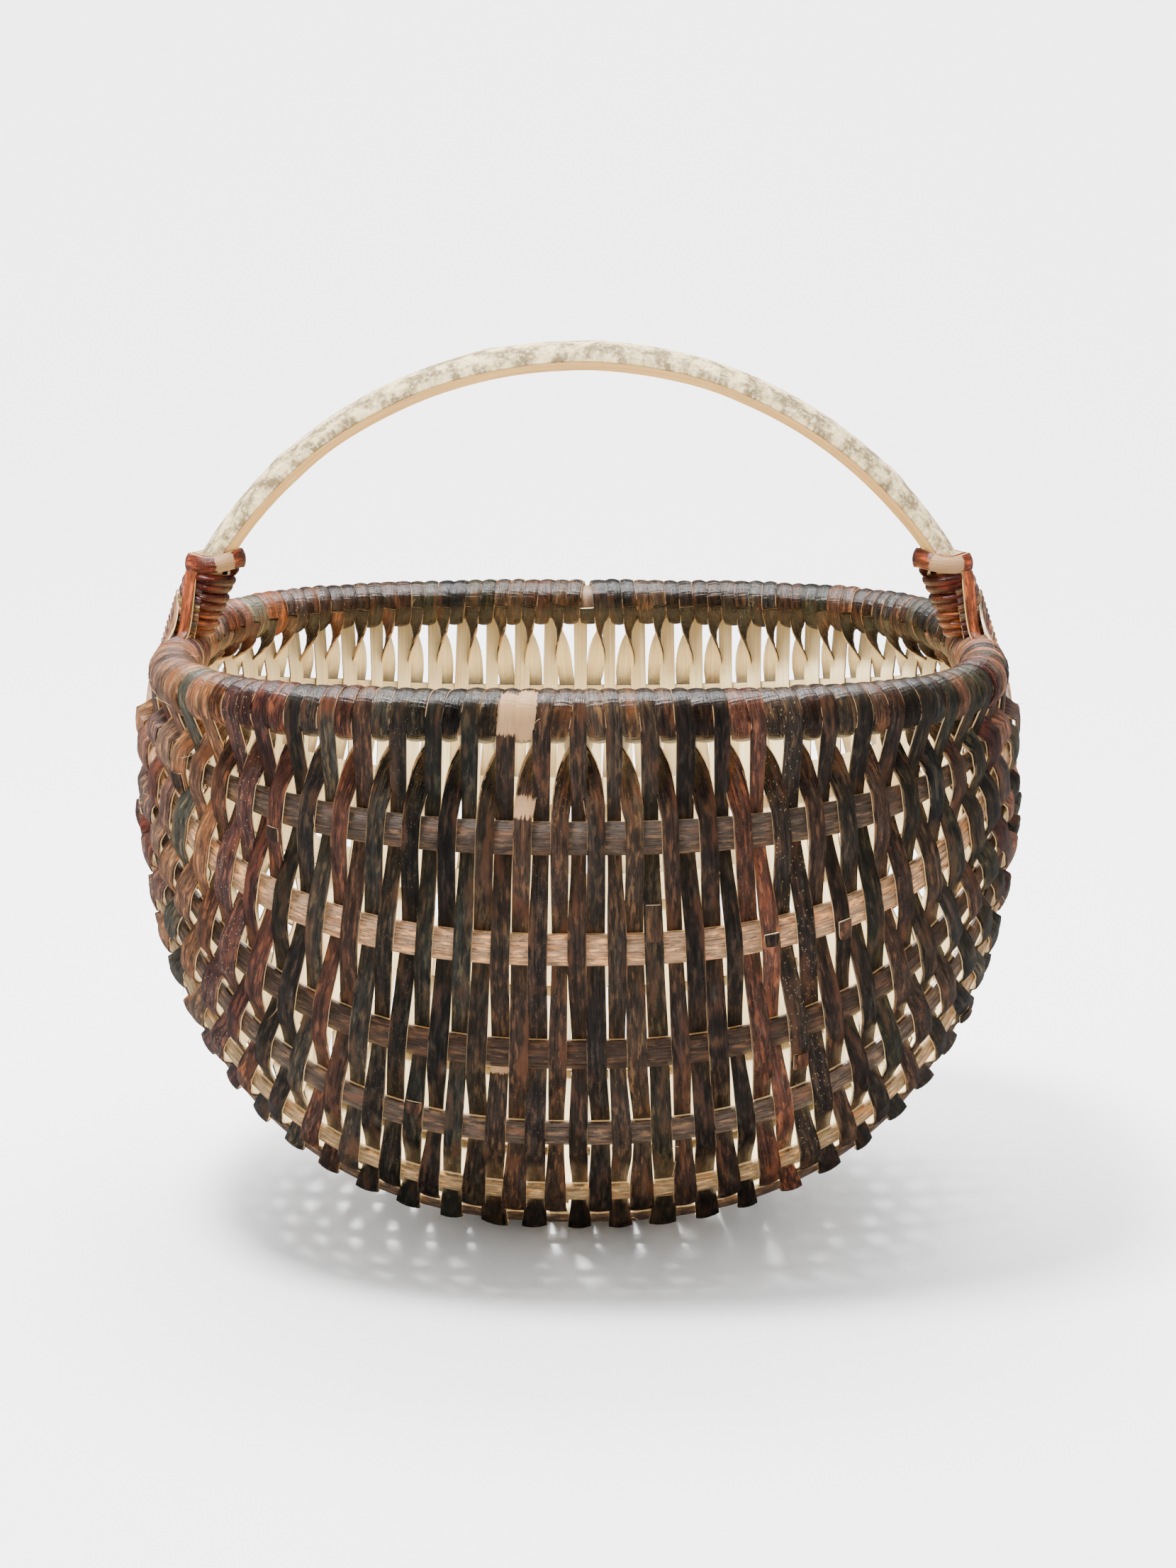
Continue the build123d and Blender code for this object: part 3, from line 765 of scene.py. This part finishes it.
def add_splices(lines, looks, bark):
    """Short ends where a new strand is laid on an old one, and loose fibres along the edges."""
    rng = random.Random(looks.seed)
    ends, fibres = [], []
    for line in lines:
        outside = [n for n in range(12, len(line) - 16) if line[n][3] > 0.00085]
        outside = [n for n in outside if 0.03 < line[n][0][2] < 0.25]
        if not outside:
            continue
        for _ in range(rng.choice((0, 1, 1))):
            n = rng.choice(outside)
            count = rng.randint(3, 6)
            piece = [
                (p + f * STRIP * (1 + 0.25 * k), f, w * (0.8 if k else 0.66), c, 0.2)
                for k, (p, f, w, c, _) in enumerate(line[n : n + count])
            ]
            tint = np.array(rng.choice(DARK_BARKS if piece[0][0][0] > -0.12 else RED_BARKS))
            ends.append(guide(piece, tint * [1.3, 1.2, 1.1, 1], rng.uniform(0, 90), thick=0.0010))
        for _ in range(rng.choice((2, 4, 6))):
            n = rng.randrange(8, len(line) - 8)
            p, f, w = line[n][:3]
            along = unit(line[n + 1][0] - line[n - 1][0])
            side = np.cross(along, f) * rng.choice((-1, 1))
            length = rng.uniform(0.003, 0.012)
            bend = rng.uniform(-1, 1)
            hair = []
            for k in range(7):
                t = k / 6
                point = p + side * w * 0.46 + f * 0.0006 + along * length * t
                point = point + (side * 0.35 + f * 0.3 * (1 + bend)) * length * t * t
                hair.append((point, f, 0.00022 * (1.15 - t), 0.0, 0.0))
            peel = [(hair[3][0], 0.05)]
            fibres.append(guide(hair, linear("8a6a48"), rng.uniform(0, 90), thick=0.00022, peels=peel))
    finish_piece(strips("strand_splices", ends, bark), "bark_strand_dark")
    finish_piece(strips("loose_fibres", fibres, bark, cuts=0), "bark_strand_dark")


class BASKET_OT_ribs(bpy.types.Operator):
    """Shape the ribs as half-round split rods with bark outside"""

    bl_idname = "basket.ribs"
    bl_label = "Shape Ribs"

    def execute(self, context):
        looks = context.scene.basket_strands
        bark = bark_material("Rib bark", looks, 0.5, 0.68, 0.6, 0.5)
        for number, name in enumerate(RIB_NODES, start=1):
            angle = RIB_ANGLES[number - 1]
            first = rib_start(number) / wall_length(angle)
            stations = []
            for n in range(141):
                share = first + (1 - 2 * first) * n / 140
                width = max(0.0028, rib_width_at(number, share))
                normal = outward(share, angle)
                crown = 0.0028 * min(1.0, width / RIB_WIDTH + 0.2)
                stations.append((skin(share, angle) - normal * 0.0014, normal, width, crown, 0.0))
            tint = RIB_BARKS[min(number, 14 - number) - 1]
            line = guide(stations, tint, number * 5.3, thick=0.0022)
            finish_piece(strips(f"split_{name}", [line], bark, cuts=7), "rib_wood", name)
        hoop_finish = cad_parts["rim_hoop"].data.materials
        hoop_finish.clear()
        hoop_finish.append(peeled_material())
        return {"FINISHED"}


class BASKET_OT_handle(bpy.types.Operator):
    """Shape the handle bow with its pale bark and shaved underside"""

    bl_idname = "basket.handle"
    bl_label = "Shape Handle"

    def execute(self, context):
        looks = context.scene.basket_handle
        half, thick = looks.width / 2, looks.thickness / 2
        side = -(thick - 0.005)
        radius = (half**2 + (thick - side) ** 2) / (2 * (thick - side))
        reach = math.asin(half / radius)
        section = []
        for a in np.linspace(reach, -reach, 17):
            section.append((math.sin(a) * radius, thick - radius + math.cos(a) * radius, 0.5))
        section += [(across, -thick, -0.5) for across in (-0.0075, -0.0025, 0.0025, 0.0075)]
        centre = HANDLE_TOP - thick - looks.radius
        first = math.acos(looks.foot / looks.radius) - 0.02
        rings, rng = 181, random.Random(5)
        ranges = ((0.1, 0.9), (-0.6, 0.6), (0.0006, 0.0012))
        knots = [[rng.uniform(*limits) for limits in ranges] for _ in range(5)]
        points, profile, grain = [], [], []
        for n in range(rings):
            part = n / (rings - 1)
            angle = first + (math.pi - 2 * first) * part
            out = np.array([math.cos(angle), 0, math.sin(angle)])
            swell = 1 + 0.025 * math.sin(part * 17 + 1) + 0.015 * math.sin(part * 41)
            sway = 0.0009 * math.sin(part * 7 + 0.5)
            for across, up, face in section:
                height = thick - (thick - up) * (2 - swell)
                if face > 0:
                    height += sum(
                        h * math.exp(-(((part - k) / 0.012) ** 2) - ((across / half - w) / 0.35) ** 2)
                        for k, w, h in knots
                    )
                height = max(-thick, min(height, thick * 1.1))
                aside = np.array([0, across * swell * 0.985 + sway, centre])
                points.append(out * (looks.radius + height) + aside)
                profile.append((across / looks.width, face, 0))
                grain.append((part * 0.5, looks.width, 3.0))
        count = len(section)
        faces = []
        for n in range(rings - 1):
            for k in range(count):
                a, b = n * count + k, n * count + (k + 1) % count
                faces.append((a, b, b + count, a + count))
        faces += [tuple(range(count - 1, -1, -1)), tuple((rings - 1) * count + k for k in range(count))]
        mesh = bpy.data.meshes.new("split_handle_bow")
        mesh.from_pydata([tuple(p) for p in points], [], faces)
        for key, values in (("profile", profile), ("grain", grain)):
            data = mesh.attributes.new(key, "FLOAT_VECTOR", "POINT").data
            data.foreach_set("vector", np.array(values, dtype=np.float32).ravel())
        mesh.materials.append(handle_material(looks))
        point_outwards(mesh)
        mesh.set_sharp_from_angle(angle=math.radians(35))
        piece = bpy.data.objects.new("split_handle_bow", mesh)
        context.scene.collection.objects.link(piece)
        finish_piece(piece, "handle_wood", "handle_bow")
        return {"FINISHED"}


def handle_material(looks):
    material, t, shader = start_material("Handle bark")
    if t is None:
        return material
    place, profile = strip_coordinates(t)
    patch = t.noise(place, (95, 190, 1), 5.0, 0.62)
    small = t.noise(place, (420, 700, 1), 4.0, 0.6)
    line = t.noise(place, (18, 900, 1), 3.0, 0.5)
    bark = t.mix(t.ramp(patch, 0.4, 0.62), tuple(looks.mottle) + (1,), tuple(looks.bark) + (1,))
    bark = t.mix(t.times(t.ramp(small, 0.5, 0.7), 0.55), bark, linear("ded6c2"))
    bark = t.mix(t.times(t.ramp(small, 0.42, 0.3), 0.7), bark, linear("5f5138"))
    wood = t.mix(t.ramp(line, 0.3, 0.75), linear("c79c62"), tuple(looks.wood) + (1,))
    wood = t.mix(t.times(t.ramp(patch, 0.55, 0.75), 0.35), wood, linear("e8cf9f"))
    face = t.ramp(t.plus(profile[1], t.times(t.minus(small, 0.5), 0.3)), 0.36, 0.44)
    colour = t.mix(face, wood, bark)
    rough = t.ramp(t.plus(small, t.times(face, 0.6)), -1.4, 1.6, False)
    height = t.plus(t.times(t.times(small, face), 1.4), t.times(line, 0.25))
    height = t.plus(height, t.times(t.times(patch, face), 0.9))
    connect(t, shader, colour, rough, height, 0.6, 0.0008)
    return material


def on_oval(centre, radii, angle, height, lean=0.0):
    """A point on a level oval round a leg of the handle, and the oval's outward direction there."""
    across, deep = math.cos(angle), math.sin(angle)
    point = np.array([centre + radii[0] * across, radii[1] * deep, height])
    return point, unit(np.array([across / radii[0], deep / radii[1], lean / radii[0]]))


# A strap's stations in the right half: point, face direction and width.
STRAP_FACE = (0.62, -0.78, 0.05)
STRAP = [
    ((0.1900, -0.0108, 0.3285), STRAP_FACE, 0.0064),
    ((0.1912, -0.0128, 0.3180), STRAP_FACE, 0.0068),
    ((0.1926, -0.0140, 0.3060), STRAP_FACE, 0.0066),
    ((0.1938, -0.0158, 0.2990), (0.5, -0.6, 0.5), 0.0062),
    ((0.1950, -0.0195, 0.2962), (0.3, -0.3, 0.9), 0.0056),
    ((0.1962, -0.0262, 0.2952), (0.35, -0.1, 0.9), 0.0048),
]


class BASKET_OT_bindings(bpy.types.Operator):
    """Bind both feet of the handle with a coil, a band and a strap"""

    bl_idname = "basket.bindings"
    bl_label = "Bind Handle Feet"

    def execute(self, context):
        looks = context.scene.basket_strands
        skein = bark_material("Red skein", looks, 0.24, 0.4, 0.3)
        for side, flip in (("right", False), ("left", True)):
            rng = random.Random(31 + flip)
            way = mirrored if flip else list
            low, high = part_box("handle_binding_right")
            band_low, band_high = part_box("handle_band_right")
            turns, stations = 7, []
            for n in range(turns * 24 + 1):
                part = n / (turns * 24)
                angle = math.radians(360 * turns * part + 200)
                centre = 0.1868 + (0.1806 - 0.1868) * part
                radii = (0.0040 + 0.0056 * part, 0.0082 + 0.0040 * part)
                sag = 0.0011 * part * math.cos(angle)
                rise = part + 0.018 * math.sin(part * 19 + flip)
                height = low.z - 0.0002 + (high.z - low.z + 0.0022) * rise + sag
                place = on_oval(centre, radii, angle, height)
                stations.append((*place, 0.0050 + 0.0014 * part, 0.0023, 1.0))

            def wine(along):
                low_tint = np.array(linear("6a3c26"))
                high_tint = np.array(rng.choice(BINDING_BARKS)) * 1.5
                part = np.clip(along * 2.2 - 0.15 + 0.12 * np.sin(along * 41), 0, 1)[:, None]
                return low_tint * (1 - part) + high_tint * part

            coil = strips(f"coil_{side}", [guide(way(stations), wine, 3.1, thick=0.0026)], skein, cuts=5)
            finish_piece(coil, "binding_bark", f"handle_binding_{side}")
            guides = []
            bare = ((-0.1730, -0.0130, 0.3325), 0.0046) if flip else ((0.1800, -0.0140, 0.3325), 0.0078)
            for ring, (grow, shift) in enumerate(((0.0, 0.0), (-0.0021, 0.0004))):
                stations = []
                for n in range(60):
                    angle = math.radians(360 * n / 60)
                    radii = (0.0128 + grow, 0.0136 + grow)
                    height = (band_low.z + band_high.z) / 2 - 0.0012 * math.cos(angle)
                    height = height - 0.0006 * math.sin(3 * angle) + shift
                    place = on_oval(0.1792, radii, angle, height, 0.10)
                    stations.append((*place, 0.0088 + 0.0008 * math.cos(2 * angle), 0.0013, 0.7))
                inputs = {"thick": 0.0018, "closed": True, "peels": [bare] if ring == 0 else ()}
                guides.append(guide(way(stations), linear("5a2b1c"), 8.0 + ring, **inputs))
            band = strips(f"wound_band_{side}", guides, skein, cuts=5)
            finish_piece(band, "binding_bark", f"handle_band_{side}")
            stations = [(np.array(p), unit(np.array(f)), width, 0.0005, 0.4) for p, f, width in STRAP]
            stations = smoothed(way(stations), 0.0015)
            line = guide(stations, linear("6f3a22"), 5.0, thick=0.0017)
            strap = strips(f"front_strap_{side}", [line], skein, cuts=5)
            finish_piece(strap, "binding_bark", f"handle_strap_{side}")
        return {"FINISHED"}


def eye_corner(direction, distance):
    """The outer side of an arm of the crossing at a distance from its centre: +y, +z, -y, -z."""
    if direction in (0, 2):
        return np.array([RIM_HALF_LENGTH + ROD + 0.0014, (1 if direction == 0 else -1) * distance, RIM])
    if direction == 1:
        return np.array([RIM_HALF_LENGTH + ROD + 0.0024 - 0.33 * distance, 0, RIM + distance])
    return np.array([RIM_HALF_LENGTH + ROD + 0.0024 + 0.12 * distance, 0, RIM - distance])


def skin_x(y):
    """The hoop's centre along X at a distance from the bow's plane."""
    return RIM_HALF_LENGTH * (1 - (abs(y) / RIM_HALF_DEPTH) ** RIM_POWER) ** (1 / RIM_POWER)


LASH_THICKNESS = 0.0012


def diamond_turn(distance):
    """One turn of the diamond, from arm to arm of the crossing."""
    corners = [eye_corner(d, distance) for d in range(4)]
    stations = []
    for d in range(4):
        a, b = corners[d], corners[(d + 1) % 4]
        for n in range(8):
            part = n / 8
            ease = part * part * (3 - 2 * part)
            sag = 0.0035 * math.sin(math.pi * part) * min(1, distance / 0.02)
            point = a * (1 - part) + b * part - np.array([sag, 0, 0])
            lean = unit(np.array([0, point[1], point[2] - RIM]))
            normal = unit(np.array([1.0, 0, 0]) + lean * 0.35 * (1 - 2 * abs(ease - 0.5)))
            stations.append((point, normal, 0.0032, 0.0009, 0.6))
    return stations


def hoop_turn(y, lean):
    """One turn round the hoop beside the diamond, thicker on the inner side near the leg."""
    stations, grow = [], 0.0025 * max(0.0, 1 - abs(y) / 0.016)
    for n in range(24):
        angle = 2 * math.pi * n / 24
        across, up = math.cos(angle), math.sin(angle)
        radius = ROD + LASH_THICKNESS + (grow if across < 0 else 0) * abs(across)
        normal = np.array([across, 0, up])
        centre = np.array([skin_x(y), y + lean * up, RIM])
        stations.append((centre + normal * radius, normal, 0.0032, 0.0008, 0.6))
    return stations


def leg_turn(low):
    """One slanting turn round the outer side of the leg."""
    stations = []
    for n in range(17):
        turn = math.radians(-82 + 164 * n / 16)
        z = low + 0.0095 * n / 16
        inner = 0.1868 - 0.19 * (z - 0.295)
        reach = 0.1930 + (0.3270 - z) * 0.34 - inner
        stations.append((*on_oval(inner, (reach, 0.0125), turn, z, 0.3), 0.0044, 0.0010, 0.6))
    return stations


# The stake behind the leg's lashing in the right half: point, face direction, width and crown.
STAKE = [
    ((0.1900, 0, 0.3270), (1, 0, 0.3), 0.0100, 0.0022),
    ((0.1945, 0, 0.3120), (1, 0, 0.35), 0.0110, 0.0022),
    ((0.1990, 0, 0.3000), (1, 0, 0.3), 0.0120, 0.0022),
    ((0.2035, 0, 0.2860), (1, 0, 0.1), 0.0120, 0.0022),
    ((0.2070, 0, 0.2620), (1, 0, -0.05), 0.0110, 0.0012),
]


class BASKET_OT_eyes(bpy.types.Operator):
    """Lash a diamond eye where the hoop and the handle cross at both ends"""

    bl_idname = "basket.eyes"
    bl_label = "Lash Eyes"

    def execute(self, context):
        looks = context.scene.basket_strands
        skein = bark_material("Lashing skein", looks, 0.34, 0.5, 0.45)
        for side, flip in (("right", False), ("left", True)):
            rng, guides = random.Random(71 + flip), []
            way = mirrored if flip else list

            def lash(stations, seed, closed=True):
                tint = np.array(rng.choice(EYE_BARKS)) * [*(rng.uniform(0.75, 1.15) for _ in range(3)), 1]
                guides.append(guide(way(stations), tint, seed, thick=LASH_THICKNESS, closed=closed))

            for k in range(10):
                lash(diamond_turn(0.0035 + 0.0030 * k), k * 1.3)
            for sign in (1, -1):
                for k in range(13):
                    y = sign * (0.0015 + 0.00275 * k)
                    if abs(y) <= 0.0352:
                        lash(hoop_turn(y, rng.uniform(-0.0006, 0.0006)), k * 2.1 + 9)
            stake = [(np.array(p), unit(np.array(f)), w, crown, 0.3) for p, f, w, crown in STAKE]
            stake = smoothed(way(stake), 0.003)
            guides.append(guide(stake, linear("4a2d22"), 2.0, thick=LASH_THICKNESS))
            for k in range(9):
                lash(leg_turn(0.2850 + 0.0042 * k), k * 4.1, closed=False)
            finish_piece(strips(f"lashed_eye_{side}", guides, skein), "lashing", f"eye_lashing_{side}")
        return {"FINISHED"}


class BASKET_OT_stage(bpy.types.Operator):
    """Set the floor, the light and the camera"""

    bl_idname = "basket.stage"
    bl_label = "Set Stage"

    def execute(self, context):
        looks, scene = context.scene.basket_stage, context.scene
        # A round floor that bends up into a round wall.
        flat, bend, top, turns = 2.0, 1.6, 6.0, 64
        rows = [(flat / 2, 0.0), (flat, 0.0)]
        for a in np.linspace(0.1, math.pi / 2, 14):
            rows.append((flat + bend * math.sin(a), bend - bend * math.cos(a)))
        rows.append((flat + bend, top))
        circle = np.linspace(0, 2 * math.pi, turns, False)
        points = [(r * math.cos(a), r * math.sin(a), z) for r, z in rows for a in circle]
        points.append((0, 0, 0))
        faces = [(len(points) - 1, k, (k + 1) % turns) for k in range(turns)]
        for n in range(len(rows) - 1):
            for k in range(turns):
                a, b = n * turns + k, n * turns + (k + 1) % turns
                faces.append((a, a + turns, b + turns, b))
        mesh = bpy.data.meshes.new("studio_floor")
        mesh.from_pydata(points, [], faces)
        mesh.shade_smooth()
        material = bpy.data.materials.new("Studio floor")
        material.use_nodes = True
        shader = next(n for n in material.node_tree.nodes if n.type == "BSDF_PRINCIPLED")
        t = Tree(material.node_tree)
        place = t.add("ShaderNodeTexCoord").outputs["Object"]
        soft = t.noise(place, (2, 2, 2), 1.0)
        shade = [c * 0.985 for c in looks.floor]
        mixed = t.mix(soft, tuple(shade) + (1,), tuple(looks.floor) + (1,))
        # The room is dark to mirrored rays, as behind black flags, so the bark's gloss stays small.
        flag = (0.05, 0.05, 0.05, 1)
        glossy = t.add("ShaderNodeLightPath").outputs["Is Glossy Ray"]
        t.tree.links.new(t.mix(glossy, mixed, flag), shader.inputs["Base Color"])
        shader.inputs["Roughness"].default_value = 0.9
        shader.inputs["Specular IOR Level"].default_value = 0.0
        mesh.materials.append(material)
        floor = bpy.data.objects.new("studio_floor", mesh)
        scene.collection.objects.link(floor)
        world = bpy.data.worlds.new("Studio light")
        scene.world = world
        world.use_nodes = True
        background = next(n for n in world.node_tree.nodes if n.type == "BACKGROUND")
        sky = Tree(world.node_tree)
        glossy = sky.add("ShaderNodeLightPath").outputs["Is Glossy Ray"]
        sky.tree.links.new(sky.mix(glossy, (1, 1, 1, 1), flag), background.inputs["Color"])
        background.inputs["Strength"].default_value = 0.28
        for name, place, aim, width, power in (
            ("Overhead soft box", (0.0, 0.3, 2.6), (0, 0.3, 0), 2.6, 130.0),
            ("Key soft box", (-0.45, -0.35, 2.1), (0, 0, 0.1), 0.4, 120.0),
            ("Back wall light", (0.0, 1.4, 3.4), (0, 3.4, 0.9), 2.4, 290.0),
        ):
            light = bpy.data.lights.new(name, "AREA")
            light.shape, light.size, light.energy = "SQUARE", width, power
            lamp = bpy.data.objects.new(name, light)
            lamp.location = place
            lamp.rotation_euler = (Vector(aim) - Vector(place)).to_track_quat("-Z", "Y").to_euler()
            scene.collection.objects.link(lamp)
        camera = bpy.data.cameras.new("Camera")
        camera.sensor_width, camera.lens = 36.0, 73.43
        camera.dof.use_dof = False
        eye = bpy.data.objects.new("Camera", camera)
        aim = Vector((0.0044, 0, looks.aim))
        eye.location = aim + Vector((0, -math.cos(looks.tilt), math.sin(looks.tilt))) * looks.distance
        eye.rotation_euler = (aim - eye.location).to_track_quat("-Z", "Y").to_euler()
        scene.collection.objects.link(eye)
        scene.camera = eye
        return {"FINISHED"}


STEPS = (
    BASKET_OT_strands,
    BASKET_OT_ribs,
    BASKET_OT_handle,
    BASKET_OT_bindings,
    BASKET_OT_eyes,
    BASKET_OT_stage,
)


class BASKET_PT_panel(bpy.types.Panel):
    """Buttons and settings for the basket"""

    bl_idname = "BASKET_PT_panel"
    bl_label = "Split Willow Basket"
    bl_space_type = "VIEW_3D"
    bl_region_type = "UI"
    bl_category = "Basket"

    def draw(self, context):
        for key in ("basket_strands", "basket_handle", "basket_stage"):
            settings = getattr(context.scene, key)
            for name in settings.__annotations__:
                self.layout.prop(settings, name)
        for step in STEPS:
            self.layout.operator(step.bl_idname)


CLASSES = (BasketStrandSettings, BasketHandleSettings, BasketStageSettings, *STEPS, BASKET_PT_panel)


def register():
    for item in CLASSES:
        bpy.utils.register_class(item)
    bpy.types.Scene.basket_strands = PointerProperty(type=BasketStrandSettings)
    bpy.types.Scene.basket_handle = PointerProperty(type=BasketHandleSettings)
    bpy.types.Scene.basket_stage = PointerProperty(type=BasketStageSettings)


def unregister():
    for key in ("basket_strands", "basket_handle", "basket_stage"):
        delattr(bpy.types.Scene, key)
    for item in reversed(CLASSES):
        bpy.utils.unregister_class(item)


def main():
    register()
    bpy.ops.basket.strands()
    bpy.ops.basket.ribs()
    bpy.ops.basket.handle()
    bpy.ops.basket.bindings()
    bpy.ops.basket.eyes()
    bpy.ops.basket.stage()


if __name__ == "__main__":
    main()
